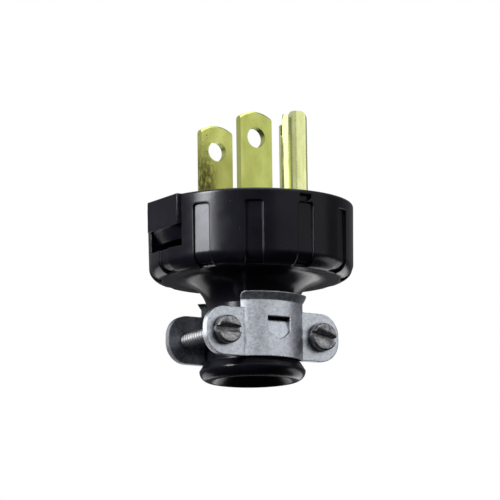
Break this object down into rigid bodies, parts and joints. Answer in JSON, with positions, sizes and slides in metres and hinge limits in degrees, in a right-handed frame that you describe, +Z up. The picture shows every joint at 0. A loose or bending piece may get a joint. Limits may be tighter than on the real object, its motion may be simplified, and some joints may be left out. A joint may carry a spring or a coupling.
{
  "type": "type b plug",
  "caption": "Round rewireable type B plug: ribbed black rubber body, flat brass blades, tubular ground pin and a screwed metal clamp that grips the cord at the neck.",
  "frame": {"origin": "centre of the cord mouth's rim, on the surface that the plug stands on", "axes": "+Z up towards the tips of the pins, +X towards the ground pin, the blades apart along Y and the clamp screws' heads at -Y"},
  "size_m": [0.035, 0.035, 0.0473],
  "materials": {
    "shell_rubber": "satin moulded rubber",
    "carrier_plastic": "moulded, slightly glossy",
    "contact_brass": "stamped and lightly worn",
    "screw_brass": "turned",
    "screw_nickel": "nickel plated",
    "screw_green": "green dyed plating",
    "clamp_zinc": "zinc plated, mottled",
    "screw_steel": "worn steel"
  },
  "bodies": {
    "root": {"body_shell": "shell_rubber", "contact_carrier": "carrier_plastic", "line_blade": "contact_brass", "neutral_blade": "contact_brass", "ground_pin": "contact_brass", "ground_strap": "contact_brass", "line_terminal_screw": "screw_brass", "neutral_terminal_screw": "screw_nickel", "ground_terminal_screw": "screw_green", "front_clamp_half": "clamp_zinc", "rear_clamp_half": "clamp_zinc", "left_clamp_screw": "screw_steel", "right_clamp_screw": "screw_steel"}
  },
  "joints": []
}
